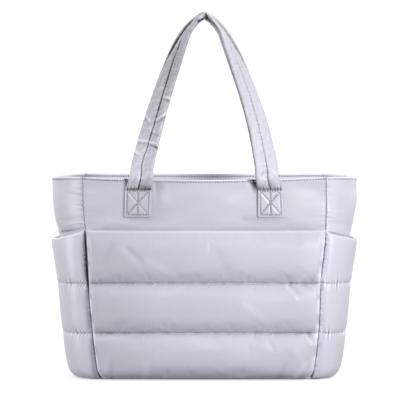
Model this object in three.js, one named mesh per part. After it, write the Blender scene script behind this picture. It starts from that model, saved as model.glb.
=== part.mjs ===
import * as THREE from "three";

// Padded nylon tote bag. Millimetres, +Z up, length along X, the front faces -Y.
// The origin is under the middle of the bag, on the surface that it stands on.

// Body sizes
const FRONT_LENGTH = 342; // between the two upright front seams, at the rim
const GUSSET_REACH = 45; // how far a side corner stands out past the seams, at the rim
const GUSSET_DEPTH = 110; // front seam to back seam, at the rim
const PANEL_BOW = 11; // how far the middle of a face stands out from its seams
const RIM_HEIGHT = 282;
const FRONT_RIM_DIP = 4; // sag of the front rim between its seams
const BACK_RIM_DIP = 1;
const WALL = 2.5; // nylon, thin wadding and lining together
const BASE_THICKNESS = 3;
const FACING_HEIGHT = 28; // band turned in behind the rim
const FACING_THICKNESS = 2;
const GAP = 0.34; // clearance between pieces that are sewn to each other

// Quilted front pocket, back panel and side pockets
const POCKET_HEIGHT = 207; // straight top edge of the front pocket and the back quilting
const SIDE_POCKET_HEIGHT = 212; // top edge of a side pocket, where it meets the seams
const SIDE_MOUTH_DROOP = 19; // how far that edge sags at the side corner
const SIDE_CREASE_DROOP = 7; // how far the sewn channels sag there
const FRONT_POCKET_SPACE = 9; // room behind the front pocket
const SIDE_POCKET_SPACE = 8;
const SIDE_MOUTH_PINCH = 0.22; // share of that room which the mouth takes back
const POCKET_INSET = 2; // front pocket's edge, in from the upright seam
const POCKET_WALL = 3; // wadding pressed flat at a sewn channel
const POCKET_CORNER = 14; // rounding of the pocket's foot
const POCKET_LIFT = 1; // pocket's lowest edge above the floor
const FRONT_PUFF = 10; // extra padding in the middle of a channel
const BACK_PUFF = 8;
const SIDE_PUFF = 5;
const EDGE_ROLL = 15; // how far from its edge a padded face rolls over
const SIDE_CORNER_FULLNESS = 0.3; // share of the side pocket's padding left at its folded corner
const SIDE_FLANK_FULLNESS = 0.7; // and what the middle of each flank has on top of that

// Handles
const HANDLE_RISE = 229; // rim to the middle of the band at the top of the arch
const HANDLE_SPREAD = 182; // centre to centre of the two sewn ends
const HANDLE_WIDTH = 32;
const HANDLE_THICKNESS = 8; // fullest part of the band's two rolls
const HANDLE_SEAM_THICKNESS = 3; // sewn line between the rolls
const HANDLE_PARTING = 4; // between the two bands at the top of the arch
const BACK_SPLAY = 5.5; // how far the back band stands outside the front one
const PATCH_WIDTH = 38; // flat sewn end
const PATCH_HEIGHT = 40;
const PATCH_THICKNESS = 3;
const PATCH_DROP = 15; // rim to the upper edge of a patch

// Body sections from the foot to the rim. Every column is a share of one size: height of
// RIM_HEIGHT, seam of half FRONT_LENGTH, reach of GUSSET_REACH, depth of half GUSSET_DEPTH
// and bow of PANEL_BOW. Roundness bends the gusset: 1 is a fold with flat sides, 2 is round.
const SECTIONS = [
  { height: 0, seam: 0.871, reach: 0.62, depth: 1.173, bow: 0.25, roundness: 2.3 },
  { height: 0.05, seam: 0.889, reach: 0.635, depth: 1.2, bow: 0.3, roundness: 2.2 },
  { height: 0.235, seam: 0.93, reach: 0.655, depth: 1.19, bow: 0.35, roundness: 2 },
  { height: 0.482, seam: 0.953, reach: 0.728, depth: 1.155, bow: 0.35, roundness: 1.8 },
  { height: 0.734, seam: 0.977, reach: 0.927, depth: 1.1, bow: 0.5, roundness: 1.55 },
  { height: 0.869, seam: 0.995, reach: 0.971, depth: 1.045, bow: 0.9, roundness: 1.35 },
  { height: 1, seam: 1, reach: 1, depth: 1, bow: 1, roundness: 1.25 },
];

// Sewn channels as shares of POCKET_HEIGHT, and rows of a channel with the share of its
// height and of its full padding
const CHANNEL_SEAMS = [0, 0.321, 0.657, 1];
const CHANNEL_ROWS = [
  { at: 0, puff: 0 },
  { at: 0.05, puff: 0.42 },
  { at: 0.18, puff: 0.76 },
  { at: 0.45, puff: 1 },
  { at: 0.78, puff: 0.8 },
  { at: 0.94, puff: 0.44 },
];

// Half a handle from the rim to the top of the arch. Rise is a share of HANDLE_RISE, spread
// of half HANDLE_SPREAD and splay of BACK_SPLAY. Twist is the turn of the band in degrees: 0
// faces forward, 90 faces out of the arch.
const HANDLE_STATIONS = [
  { rise: 0, spread: 0.958, twist: 14, splay: 0.35 },
  { rise: 0.055, spread: 0.944, twist: 22, splay: 0.35 },
  { rise: 0.175, spread: 0.888, twist: 30, splay: 0.35 },
  { rise: 0.297, spread: 0.82, twist: 36, splay: 0.35 },
  { rise: 0.419, spread: 0.735, twist: 42, splay: 0.35 },
  { rise: 0.541, spread: 0.636, twist: 47, splay: 0.35 },
  { rise: 0.664, spread: 0.523, twist: 54, splay: 0.35 },
  { rise: 0.8, spread: 0.376, twist: 69, splay: 0.85 },
  { rise: 0.897, spread: 0.253, twist: 84, splay: 1 },
  { rise: 0.95, spread: 0.155, twist: 88, splay: 0.9 },
  { rise: 0.985, spread: 0.07, twist: 90, splay: 0.5 },
  { rise: 1, spread: 0, twist: 90, splay: 0.25 },
];

// Outline of the band across its width: share of the half width, and share of the half
// thickness of the rolls, with the sewn line in the middle
const BAND_EDGE = 0.4;
const BAND_LOBE = 0.54;

// Powers of the smooth curves: how evenly a side pocket's edge sags from the seams to the
// corner, how late that pocket closes onto the seams, and how fast the rim's sag fades downward
const SAG_POWER = 0.75;
const SIDE_EDGE_POWER = 4;
const RIM_FADE_POWER = 2;

// Mesh steps
const FACE_STEPS = 16;
const GUSSET_STEPS = 10;
const WALL_STEPS = 8;
const POCKET_STEPS = 20;
const SIDE_POCKET_STEPS = 14;
const STEPS_PER_STATION = 2;

const HALF_SEAM = FRONT_LENGTH / 2;
const HALF_DEPTH = GUSSET_DEPTH / 2;
const WALL_FOOT = BASE_THICKNESS + GAP;
const FRONT = -1;
const BACK = 1;

// Smooth curve through the columns of a table, read at a value of its first column
function tableCurve(rows) {
  const [key, ...columns] = Object.keys(rows[0]);
  const values = rows.flatMap((row) => columns.map((name) => row[name]));
  const curve = new THREE.CubicInterpolant(rows.map((row) => row[key]), values, columns.length);
  return (at) => {
    const found = curve.evaluate(at);
    return Object.fromEntries(columns.map((name, index) => [name, found[index]]));
  };
}

const sectionShares = tableCurve(SECTIONS);

// Plan sizes of the body at a height
function sectionAt(height) {
  const shares = sectionShares(height / RIM_HEIGHT);
  return {
    seam: shares.seam * HALF_SEAM,
    reach: shares.reach * GUSSET_REACH,
    depth: shares.depth * HALF_DEPTH,
    bow: shares.bow * PANEL_BOW,
    power: 2 / shares.roundness,
  };
}

// Depth of a face's outer surface, measured from the bag's middle
function faceDepth(x, height) {
  const section = sectionAt(height);
  return section.depth + section.bow * (1 - (x / section.seam) ** 2);
}

// Plan outline of the front face, then of the right gusset, each from one upright seam to the
// next and anticlockwise seen from above
function faceLine(section, steps) {
  return Array.from({ length: steps + 1 }, (_, step) => {
    const share = -1 + (2 * step) / steps;
    return new THREE.Vector2(share * section.seam, -section.depth - section.bow * (1 - share ** 2));
  });
}

function gussetLine(section, steps) {
  return Array.from({ length: steps + 1 }, (_, step) => {
    const angle = (step / steps - 0.5) * Math.PI;
    const out = Math.abs(Math.cos(angle)) ** section.power;
    const along = Math.sign(angle) * Math.abs(Math.sin(angle)) ** section.power;
    return new THREE.Vector2(section.seam + section.reach * out, section.depth * along);
  });
}

const halfTurn = (point) => new THREE.Vector2(-point.x, -point.y);

// The whole plan outline: front face, right gusset, back face, left gusset. Each corner point
// is listed once, so the four stretches share their ends.
function planLoop(height) {
  const section = sectionAt(height);
  const face = faceLine(section, FACE_STEPS).slice(0, -1);
  const gusset = gussetLine(section, GUSSET_STEPS).slice(0, -1);
  const half = [...face, ...gusset];
  return [...half, ...half.map(halfTurn)];
}

const LOOP_STRETCHES = {
  front: { start: 0, steps: FACE_STEPS },
  right: { start: FACE_STEPS, steps: GUSSET_STEPS },
  back: { start: FACE_STEPS + GUSSET_STEPS, steps: FACE_STEPS },
  left: { start: 2 * FACE_STEPS + GUSSET_STEPS, steps: GUSSET_STEPS },
};

// Moves every point of a closed anticlockwise loop inward, with mitred corners
function insetLoop(loop, distance) {
  return loop.map((point, index) => {
    const before = loop[(index + loop.length - 1) % loop.length];
    const after = loop[(index + 1) % loop.length];
    const first = inwardNormal(before, point);
    const second = inwardNormal(point, after);
    const mitre = first.clone().add(second).normalize();
    return point.clone().addScaledVector(mitre, distance / mitre.dot(first));
  });
}

function inwardNormal(from, to) {
  const along = to.clone().sub(from).normalize();
  return new THREE.Vector2(-along.y, along.x);
}

// One stretch of a loop, with its two ends drawn in so that neighbours stay apart
function stretchOf(loop, { start, steps }) {
  const points = Array.from({ length: steps + 1 }, (_, step) => loop[(start + step) % loop.length].clone());
  pullIn(points[0], points[1]);
  pullIn(points[steps], points[steps - 1]);
  return points;
}

function pullIn(end, next) {
  const towards = next.clone().sub(end).normalize();
  end.addScaledVector(towards, GAP / 2);
}

// Sag of the body at one column of a stretch: all of the rim's dip at the top, fading downward
function rimDrop(stretch, share, height) {
  const dip = { front: FRONT_RIM_DIP, back: BACK_RIM_DIP }[stretch] ?? 0;
  return dip * (1 - share ** 2) * (height / RIM_HEIGHT) ** RIM_FADE_POWER;
}

const acrossShare = (column, steps) => -1 + (2 * column) / steps;

const spaced = (from, to, steps) =>
  Array.from({ length: steps + 1 }, (_, step) => from + ((to - from) * step) / steps);

// Closed wall between two grids of points, rows going up and columns anticlockwise seen from
// above. A ring joins its last column to its first.
function wallGeometry(outer, inner, ring = false) {
  const rows = outer.length;
  const columns = outer[0].length;
  const points = [...outer.flat(), ...inner.flat()];
  const innerStart = rows * columns;
  const faces = [];
  const at = (row, column, side) => side * innerStart + row * columns + (column % columns);
  const quad = (a, b, c, d) => faces.push(a, b, c, a, c, d);
  const lastColumn = ring ? columns : columns - 1;
  for (let row = 0; row < rows - 1; row++) {
    for (let column = 0; column < lastColumn; column++) {
      quad(at(row, column, 0), at(row, column + 1, 0), at(row + 1, column + 1, 0), at(row + 1, column, 0));
      quad(at(row, column, 1), at(row + 1, column, 1), at(row + 1, column + 1, 1), at(row, column + 1, 1));
    }
  }
  const top = rows - 1;
  for (let column = 0; column < lastColumn; column++) {
    quad(at(top, column, 0), at(top, column + 1, 0), at(top, column + 1, 1), at(top, column, 1));
    quad(at(0, column + 1, 0), at(0, column, 0), at(0, column, 1), at(0, column + 1, 1));
  }
  if (!ring) {
    const end = columns - 1;
    for (let row = 0; row < top; row++) {
      quad(at(row, 0, 0), at(row + 1, 0, 0), at(row + 1, 0, 1), at(row, 0, 1));
      quad(at(row + 1, end, 0), at(row, end, 0), at(row, end, 1), at(row + 1, end, 1));
    }
  }
  return meshGeometry(points, faces);
}

function meshGeometry(points, faces) {
  const geometry = new THREE.BufferGeometry().setFromPoints(points);
  geometry.setIndex(faces);
  geometry.computeVertexNormals();
  return geometry;
}

// A piece of the body wall between two heights. The top row follows the sag of the rim.
function bodyWall(stretch, foot, head, inset = 0, thickness = WALL) {
  const span = LOOP_STRETCHES[stretch];
  const grid = (depth) =>
    spaced(foot, head, WALL_STEPS).map((height) => {
      const line = stretchOf(insetLoop(planLoop(height), depth), span);
      return line.map((point, column) => {
        const drop = rimDrop(stretch, acrossShare(column, span.steps), height);
        return new THREE.Vector3(point.x, point.y, height - drop);
      });
    });
  return wallGeometry(grid(inset), grid(inset + thickness));
}

// Band turned in behind the rim, one closed ring
function facingRing() {
  const dropAt = (index, height) => {
    const names = Object.keys(LOOP_STRETCHES);
    const name = names.findLast((key) => LOOP_STRETCHES[key].start <= index);
    const { start, steps } = LOOP_STRETCHES[name];
    return rimDrop(name, acrossShare(index - start, steps), height);
  };
  const grid = (depth) =>
    [RIM_HEIGHT - FACING_HEIGHT, RIM_HEIGHT - FACING_HEIGHT / 2, RIM_HEIGHT].map((height) =>
      insetLoop(planLoop(height), depth).map(
        (point, index) => new THREE.Vector3(point.x, point.y, height - dropAt(index, height)),
      ),
    );
  return wallGeometry(grid(WALL + GAP), grid(WALL + GAP + FACING_THICKNESS), true);
}

function basePlate() {
  const shape = new THREE.Shape(planLoop(0));
  return new THREE.ExtrudeGeometry(shape, { depth: BASE_THICKNESS, bevelEnabled: false });
}

// Quarter round from 0 at an edge to 1 at the given distance from it
function roll(distance, reach) {
  const left = 1 - Math.min(Math.max(distance / reach, 0), 1);
  return Math.sqrt(1 - left ** 2);
}

// Rows of a quilted face from foot to mouth, with the height and padding of each
function quiltRows(foot, mouth) {
  const seams = CHANNEL_SEAMS.map((share) => share * POCKET_HEIGHT);
  seams[0] = foot;
  seams[seams.length - 1] = mouth;
  const rows = seams.slice(0, -1).flatMap((low, channel) =>
    CHANNEL_ROWS.map((row) => ({
      height: low + row.at * (seams[channel + 1] - low),
      puff: row.puff,
      channel: channel + row.at,
    })),
  );
  return [...rows, { height: mouth, puff: 0, channel: CHANNEL_SEAMS.length - 1 }];
}

// Columns crowded towards both ends, from -1 to 1
const crowded = (steps) => spaced(-1, 1, steps).map((share) => Math.sin((share * Math.PI) / 2));

// Quilted front pocket, standing off the front face and open along its top
function frontPocket() {
  const grid = (full) =>
    quiltRows(POCKET_LIFT, POCKET_HEIGHT).map(({ height, puff }) => {
      const foot = POCKET_CORNER * (1 - roll(height - POCKET_LIFT, POCKET_CORNER));
      const edge = sectionAt(height).seam - POCKET_INSET - foot;
      return crowded(POCKET_STEPS).map((share) => {
        const x = share * edge;
        const inFromEdge = roll(edge - Math.abs(x), EDGE_ROLL);
        const space = GAP + FRONT_POCKET_SPACE * inFromEdge * roll(height, POCKET_CORNER);
        const padding = full * (POCKET_WALL + FRONT_PUFF * puff * inFromEdge);
        return new THREE.Vector3(x, -faceDepth(x, height) - space - padding, height);
      });
    });
  return wallGeometry(grid(1), grid(0));
}

// Quilted lower back: the body's own wall, puffed outwards
function quiltedBack() {
  const span = { start: LOOP_STRETCHES.back.start, steps: FACE_STEPS };
  const grid = (full) =>
    quiltRows(WALL_FOOT, POCKET_HEIGHT).map(({ height, puff }) => {
      const line = stretchOf(insetLoop(planLoop(height), full ? 0 : POCKET_WALL), span);
      const edge = sectionAt(height).seam;
      return line.map((point) => {
        const inFromEdge = roll(edge - Math.abs(point.x), EDGE_ROLL);
        const bulge = full * BACK_PUFF * puff * inFromEdge;
        const drop = rimDrop("back", point.x / edge, height);
        return new THREE.Vector3(point.x, point.y + bulge, height - drop);
      });
    });
  return wallGeometry(grid(1), grid(0));
}

// Quilted side pocket, wrapped round a gusset from seam to seam and open along its top
function sidePocket(turned) {
  const lastSeam = CHANNEL_SEAMS.length - 2;
  const grid = (full) =>
    quiltRows(POCKET_LIFT, SIDE_POCKET_HEIGHT).map(({ height, puff, channel }) =>
      spaced(-1, 1, SIDE_POCKET_STEPS).map((share, column) => {
        const sag = Math.cos((share * Math.PI) / 2) ** SAG_POWER;
        const level = height - sag * droopAt(channel);
        const line = gussetLine(sectionAt(level), SIDE_POCKET_STEPS);
        const inFromEdge = Math.sqrt(1 - share ** SIDE_EDGE_POWER);
        const room = SIDE_POCKET_SPACE * (1 - SIDE_MOUTH_PINCH * Math.max(channel - lastSeam, 0));
        const space = GAP + room * inFromEdge * roll(level, POCKET_CORNER);
        const fullness = SIDE_CORNER_FULLNESS + SIDE_FLANK_FULLNESS * flankHump(Math.abs(share));
        const padding = full * (POCKET_WALL + SIDE_PUFF * puff * fullness * inFromEdge);
        const point = standOff(line, column, space + padding);
        return turned
          ? new THREE.Vector3(-point.x, -point.y, level)
          : new THREE.Vector3(point.x, point.y, level);
      }),
    );
  return wallGeometry(grid(1), grid(0));
}

// 0 at the corner and at the seam, 1 midway between them
const flankHump = (share) => 4 * share * (1 - share);

// Sag of a channel row at the side corner: none at the foot, most at the mouth
function droopAt(channel) {
  const lastSeam = CHANNEL_SEAMS.length - 2;
  if (channel <= 1) return SIDE_CREASE_DROOP * channel;
  if (channel <= lastSeam) return SIDE_CREASE_DROOP;
  return SIDE_CREASE_DROOP + (SIDE_MOUTH_DROOP - SIDE_CREASE_DROOP) * (channel - lastSeam);
}

// A point of an open line, moved outward by a distance
function standOff(line, column, distance) {
  const before = line[Math.max(column - 1, 0)];
  const after = line[Math.min(column + 1, line.length - 1)];
  return line[column].clone().addScaledVector(inwardNormal(before, after), -distance);
}

// Stations of half a handle: the two ends of the sewn patch, then the free band
function halfHandle(side) {
  const patchRows = [PATCH_DROP + PATCH_HEIGHT, PATCH_DROP].map((drop) => ({
    height: RIM_HEIGHT - drop,
    x: HANDLE_SPREAD / 2,
    twist: 0,
    sewn: 1,
    rise: 0,
    splay: HANDLE_STATIONS[0].splay,
  }));
  const bandRows = HANDLE_STATIONS.map((row) => ({
    height: RIM_HEIGHT + row.rise * HANDLE_RISE,
    x: (row.spread * HANDLE_SPREAD) / 2,
    twist: row.twist,
    sewn: 0,
    rise: row.rise,
    splay: row.splay,
  }));
  const swing = Math.sin(THREE.MathUtils.degToRad(HANDLE_STATIONS[0].twist));
  const offRim = GAP + HANDLE_THICKNESS / 2 + (HANDLE_WIDTH / 2) * swing;
  return [...patchRows, ...bandRows].map((row) => {
    const foot = faceDepth(HANDLE_SPREAD / 2, Math.min(row.height, RIM_HEIGHT)) + offRim;
    const top = (HANDLE_WIDTH + HANDLE_PARTING) / 2;
    const splay = side === BACK ? row.splay * BACK_SPLAY : 0;
    const outward = row.rise === 1 ? 0 : splay;
    return {
      ...row,
      point: new THREE.Vector3(
        row.x + outward,
        side * THREE.MathUtils.lerp(foot, top, row.rise),
        row.height + (row.rise === 1 ? splay : 0),
      ),
    };
  });
}

// Outline of the band at a station, as pairs of width and thickness
function bandOutline(sewn) {
  const halfWidth = THREE.MathUtils.lerp(HANDLE_WIDTH, PATCH_WIDTH, sewn) / 2;
  const thick = (free) => THREE.MathUtils.lerp(free, PATCH_THICKNESS, sewn) / 2;
  const face = [
    [-halfWidth, thick(HANDLE_THICKNESS * BAND_EDGE)],
    [-halfWidth * BAND_LOBE, thick(HANDLE_THICKNESS)],
    [0, thick(HANDLE_SEAM_THICKNESS)],
    [halfWidth * BAND_LOBE, thick(HANDLE_THICKNESS)],
    [halfWidth, thick(HANDLE_THICKNESS * BAND_EDGE)],
  ];
  const back = face.map(([width, thickness]) => [width, -thickness]).reverse();
  return [...face, ...back];
}

// One handle: a band swept over the arch, turning from flat on the panel to face out of the
// arch at its top
function handle(side) {
  const half = halfHandle(side);
  const mirrored = half.slice(0, -1).reverse().map((row) => ({
    ...row,
    point: new THREE.Vector3(-row.point.x, row.point.y, row.point.z),
  }));
  const stations = [...mirrored.toReversed(), ...half.toReversed()];
  const curve = new THREE.CatmullRomCurve3(stations.map((row) => row.point), false, "centripetal");
  const turn = tableCurve(stations.map((row, index) => ({ index, twist: row.twist, sewn: row.sewn })));
  const last = stations.length - 1;
  const rings = spaced(0, last, last * STEPS_PER_STATION).map((station) => {
    const centre = curve.getPoint(station / last);
    const along = curve.getTangent(station / last);
    const out = along.clone().cross(new THREE.Vector3(0, 1, 0)).normalize();
    const face = out.clone().cross(along).multiplyScalar(side);
    const { twist, sewn } = turn(station);
    const turned = THREE.MathUtils.degToRad(twist);
    return bandRing(centre, out, face, side, turned, THREE.MathUtils.clamp(sewn, 0, 1));
  });
  return sweptGeometry(rings, side);
}

// Points of the band's outline round a centre. Where the band is sewn it follows the face.
function bandRing(centre, out, face, side, twist, sewn) {
  const across = out.clone().multiplyScalar(Math.cos(twist)).addScaledVector(face, -Math.sin(twist));
  const normal = face.clone().multiplyScalar(Math.cos(twist)).addScaledVector(out, Math.sin(twist));
  const seated = GAP + THREE.MathUtils.lerp(HANDLE_THICKNESS, PATCH_THICKNESS, sewn) / 2;
  return bandOutline(sewn).map(([width, thickness]) => {
    const point = centre.clone().addScaledVector(across, width).addScaledVector(normal, thickness);
    const seat = faceDepth(point.x, Math.min(point.z, RIM_HEIGHT)) + seated + thickness;
    point.y = THREE.MathUtils.lerp(point.y, side * seat, sewn);
    return point;
  });
}

// Closed skin over a row of outlines with a flat cap at each end
function sweptGeometry(rings, side) {
  const count = rings[0].length;
  const faces = [];
  const quad = (a, b, c, d) => (side === BACK ? faces.push(a, b, c, a, c, d) : faces.push(a, c, b, a, d, c));
  for (let ring = 0; ring < rings.length - 1; ring++) {
    for (let corner = 0; corner < count; corner++) {
      const next = (corner + 1) % count;
      const base = ring * count;
      quad(base + corner, base + next, base + count + next, base + count + corner);
    }
  }
  const end = (rings.length - 1) * count;
  const faceGaps = count / 2 - 1;
  for (let corner = 0; corner < faceGaps; corner++) {
    const opposite = count - 1 - corner;
    quad(corner, opposite, opposite - 1, corner + 1);
    quad(end + corner, end + corner + 1, end + opposite - 1, end + opposite);
  }
  return meshGeometry(rings.flat(), faces);
}

function nylon(color) {
  return new THREE.MeshStandardMaterial({ color, roughness: 0.45, metalness: 0 });
}

const bag = new THREE.Group();

function addPiece(name, geometry, color) {
  const mesh = new THREE.Mesh(geometry, nylon(color));
  mesh.name = name;
  bag.add(mesh);
}

const SHELL_COLOR = 0xcfcdd9;
const POCKET_COLOR = 0xc9c7d4;
const HANDLE_COLOR = 0xd8d6e1;
const FACING_COLOR = 0xb9b7c3;

addPiece("base_panel", basePlate(), SHELL_COLOR);
addPiece("front_panel", bodyWall("front", WALL_FOOT, RIM_HEIGHT), SHELL_COLOR);
addPiece("back_panel", bodyWall("back", POCKET_HEIGHT + GAP, RIM_HEIGHT), SHELL_COLOR);
addPiece("back_quilted_panel", quiltedBack(), POCKET_COLOR);
addPiece("left_gusset", bodyWall("left", WALL_FOOT, RIM_HEIGHT), SHELL_COLOR);
addPiece("right_gusset", bodyWall("right", WALL_FOOT, RIM_HEIGHT), SHELL_COLOR);
addPiece("rim_facing", facingRing(), FACING_COLOR);
addPiece("front_pocket", frontPocket(), POCKET_COLOR);
addPiece("left_side_pocket", sidePocket(true), POCKET_COLOR);
addPiece("right_side_pocket", sidePocket(false), POCKET_COLOR);
addPiece("front_handle", handle(FRONT), HANDLE_COLOR);
addPiece("back_handle", handle(BACK), HANDLE_COLOR);

// The pocket makes the front deeper than the back, so the whole bag moves back by half of
// the difference to stand evenly about the origin
const reach = new THREE.Box3().setFromObject(bag);
bag.position.y = -(reach.min.y + reach.max.y) / 2;

export default bag;
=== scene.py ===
"""Padded nylon tote bag, dressed over its solids. Metres, +Z up, the front faces -Y."""

import math

import bpy
import numpy as np
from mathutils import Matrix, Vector


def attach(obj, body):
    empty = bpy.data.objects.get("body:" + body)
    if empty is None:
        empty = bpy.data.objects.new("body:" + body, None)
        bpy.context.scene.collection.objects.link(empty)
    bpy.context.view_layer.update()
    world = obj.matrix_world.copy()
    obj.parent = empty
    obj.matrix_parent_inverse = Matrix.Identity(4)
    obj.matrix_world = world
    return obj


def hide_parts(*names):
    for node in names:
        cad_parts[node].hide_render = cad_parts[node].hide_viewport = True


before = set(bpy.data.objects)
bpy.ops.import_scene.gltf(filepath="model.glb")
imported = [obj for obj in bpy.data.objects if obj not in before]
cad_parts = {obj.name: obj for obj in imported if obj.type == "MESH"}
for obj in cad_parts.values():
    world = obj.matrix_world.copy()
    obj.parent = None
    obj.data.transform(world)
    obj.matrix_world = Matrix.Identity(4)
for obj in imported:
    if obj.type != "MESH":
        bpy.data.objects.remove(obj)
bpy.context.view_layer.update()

# Body sizes, the same as those of the solids
FRONT_LENGTH = 0.342
GUSSET_REACH = 0.045
GUSSET_DEPTH = 0.110
PANEL_BOW = 0.011
RIM_HEIGHT = 0.282
FRONT_RIM_DIP = 0.004
BACK_RIM_DIP = 0.001
WALL = 0.0025
BASE_THICKNESS = 0.003
FACING_HEIGHT = 0.028
FACING_THICKNESS = 0.002
GAP = 0.00034
MIDDLE_Y = 0.007166  # the middle of the body, which the front pocket pushes back

# Quilted pieces
POCKET_HEIGHT = 0.207
SIDE_POCKET_HEIGHT = 0.212
SIDE_MOUTH_DROOP = 0.0165
SIDE_CREASE_DROOP = 0.002
FRONT_POCKET_SPACE = 0.009
SIDE_POCKET_SPACE = 0.008
SIDE_MOUTH_PINCH = 0.22
OPEN_INSET = 0.0009  # how far the soft front pocket stops short of the body's seam where it gapes
CLOSED_INSET = -0.0006  # and where it is shut
LEFT_SEAM_CLOSES = 0.115  # heights below which the side seams are shut
RIGHT_SEAM_CLOSES = 0.15
SEAM_OPENING = 0.03  # height that a side seam takes to open
MOUTH_RISE = 0.0025  # how much higher the soft front pocket's mouth stands than the solid's
RIGHT_MOUTH_DROP = 0.002  # how much lower the right side pocket is sewn to its seams
POCKET_WALL = 0.003
POCKET_CORNER = 0.014
POCKET_LIFT = 0.001
FRONT_PUFF = 0.010
BACK_PUFF = 0.008
SIDE_PUFF = 0.005
EDGE_ROLL = 0.009
QUILT_STEP = 0.0027  # row to row, and twice the distance of the columns
EDGE_WIDTH = 0.0012  # edge of a quilted piece, kept free of swelling and gathers
QUILT_GATHERS = 0.0005
SIDE_GATHERS = 0.0016

# Plain walls
STITCH_DROP = 0.003  # rim to the line of stitches under it
HOLLOW_HEIGHT = 0.018  # how far up the walls sink in behind the mouths of the pockets
PANEL_HOLLOW = 0.0024
WALL_SLACK = 0.0005
WALL_GATHERS = 0.0007
GATHERS_REACH = 0.007

# Handles
HANDLE_RISE = 0.229
HANDLE_SPREAD = 0.182
HANDLE_WIDTH = 0.032
HANDLE_THICKNESS = 0.008
HANDLE_SEAM_THICKNESS = 0.003
HANDLE_PARTING = 0.004
BACK_SPLAY = 0.0055
PATCH_FOOT_WIDTH = 0.0368
PATCH_HEAD_WIDTH = 0.0345
LEFT_PATCH_WIDTH = 0.0372
PATCH_HEIGHT = 0.039
PATCH_THICKNESS = 0.003
PATCH_DROP = 0.015
PATCH_BORDER = 0.0034  # patch edge to its row of stitches
PATCH_LEAN = 0.0015  # how far the foot of a patch strays to the left or right of its head
FLATTENING = 0.0035  # length over which the rolls flatten into a patch
LEVELLING = 0.014  # length over which the band turns level with its patch
SOFT_WIDTH = 0.0343  # a handle's width when its rolls are pressed flat
LOBE_POWER = 2.5  # how square the band's two rolls are

# Stitches
# Needle holes: flat discs whose painted shade stands in for the shade in the holes
HOLE_RADIUS = 0.001
HOLE_LIFT = 0.0004
HOLE_SHADE = 2.4

# Painted shade: 1 is as dark as the painted shade along a sewn line, and below 0 is painted light
# Painted light on the ridges of the cloth and painted shade in its valleys, for a metre of relief
RELIEF_SHADE = 260  # how much lighter a ridge of the cloth is than a valley, for a metre of relief
FRONT_RELIEF_SHADE = 350
SIDE_RELIEF_SHADE = 1300
HANDLE_RELIEF_SHADE = 4 * RELIEF_SHADE
# Painted shadow along the feet of the pockets
FOOT_SHADE = 1.4  # along the feet of the pockets
FOOT_REACH = 0.0014
SKY_LIGHT = (0.75, 0.62, 0.23)  # the way to the brightest part of the studio
MM = 0.001

# height | seam | reach | depth | bow | roundness, as shares of the sizes above
SECTIONS = [
    (0, 0.871, 0.62, 1.173, 0.25, 2.3),
    (0.05, 0.889, 0.635, 1.2, 0.3, 2.2),
    (0.235, 0.93, 0.655, 1.19, 0.35, 2),
    (0.482, 0.953, 0.728, 1.155, 0.35, 1.8),
    (0.734, 0.977, 0.927, 1.1, 0.5, 1.55),
    (0.869, 0.995, 0.971, 1.045, 0.9, 1.35),
    (1, 1, 1, 1, 1, 1.25),
]

# rise | spread | twist in degrees | splay, from the rim to the top of the arch
HANDLE_STATIONS = [
    (0, 0.958, 14, 0.35),
    (0.055, 0.944, 22, 0.35),
    (0.175, 0.888, 30, 0.35),
    (0.297, 0.82, 36, 0.35),
    (0.419, 0.735, 42, 0.35),
    (0.541, 0.636, 47, 0.35),
    (0.664, 0.523, 54, 0.35),
    (0.8, 0.376, 69, 0.85),
    (0.897, 0.253, 84, 1),
    (0.95, 0.155, 88, 0.9),
    (0.985, 0.07, 90, 0.5),
    (1, 0, 90, 0.25),
]

CHANNEL_SEAMS = (0, 0.321, 0.657, 1)  # sewn channels, as shares of POCKET_HEIGHT
FRONT = -1
BACK = 1

# How much higher the soft rim stands at its seams than at the two ends, at the front and back
FRONT_RIM_LIFT = 0.0025
BACK_RIM_LIFT = 0.0033

# height | how far the left and the right front seams stray along the bag
SEAM_DRIFT = [
    (-0.01, 0.0020, 0.0014),
    (0.041, 0.0030, 0.0012),
    (0.082, 0.0027, 0.0006),
    (0.113, 0.0012, 0.0002),
    (0.150, 0.0, 0.0004),
    (0.180, 0.0, 0.0022),
    (0.210, 0.0, 0.0030),
    (0.236, 0.0, 0.0017),
    (0.290, 0.0, 0.0),
    (0.600, 0.0, 0.0),
]


# Smooth curves, grids and noise


def ramp(value, low, length):
    """0 up to low, 1 from low + length on, and straight between."""
    return np.clip((value - low) / length, 0, 1)


def eased(share):
    return share * share * (3 - 2 * share)


def table_curve(rows):
    """Smooth curve through the rows of a table, read at values of its first column."""
    table = np.array(rows, float)
    keys, values = table[:, 0], table[:, 1:]

    def read(at):
        at = np.asarray(at, float)
        after = np.clip(np.searchsorted(keys, at, side="right"), 1, len(keys) - 1)
        start, end = keys[after - 1], keys[after]
        first, last = after < 2, after > len(keys) - 2
        before = np.where(first, after, after - 2)
        beyond = np.where(last, after - 1, np.minimum(after + 1, len(keys) - 1))
        half = (end - start) / 2
        pull_before = half / (start - keys[before])
        pull_beyond = half / (keys[beyond] - end)
        t = (at - start) / (end - start)
        t2, t3 = t * t, t * t * t
        shares = [
            (before, pull_before * (2 * t2 - t3 - t)),
            (
                after - 1,
                (1 + pull_before) * t3 - (1.5 + 2 * pull_before) * t2 + (pull_before - 0.5) * t + 1,
            ),
            (after, (1.5 + pull_beyond) * t2 - (1 + pull_beyond) * t3 + 0.5 * t),
            (beyond, pull_beyond * (t3 - t2)),
        ]
        return sum(values[row] * share[..., None] for row, share in shares)

    return read


def graded(low, high, step, finest=0.0006, growth=0.35):
    """Positions from low to high, closer together near both."""
    half = (high - low) / 2
    walked = [0.0]
    while walked[-1] < half:
        walked.append(walked[-1] + min(finest + growth * walked[-1], step))
    walked = np.array(walked) * half / walked[-1]
    return np.concatenate([low + walked, high - walked[-2::-1]])


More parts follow.
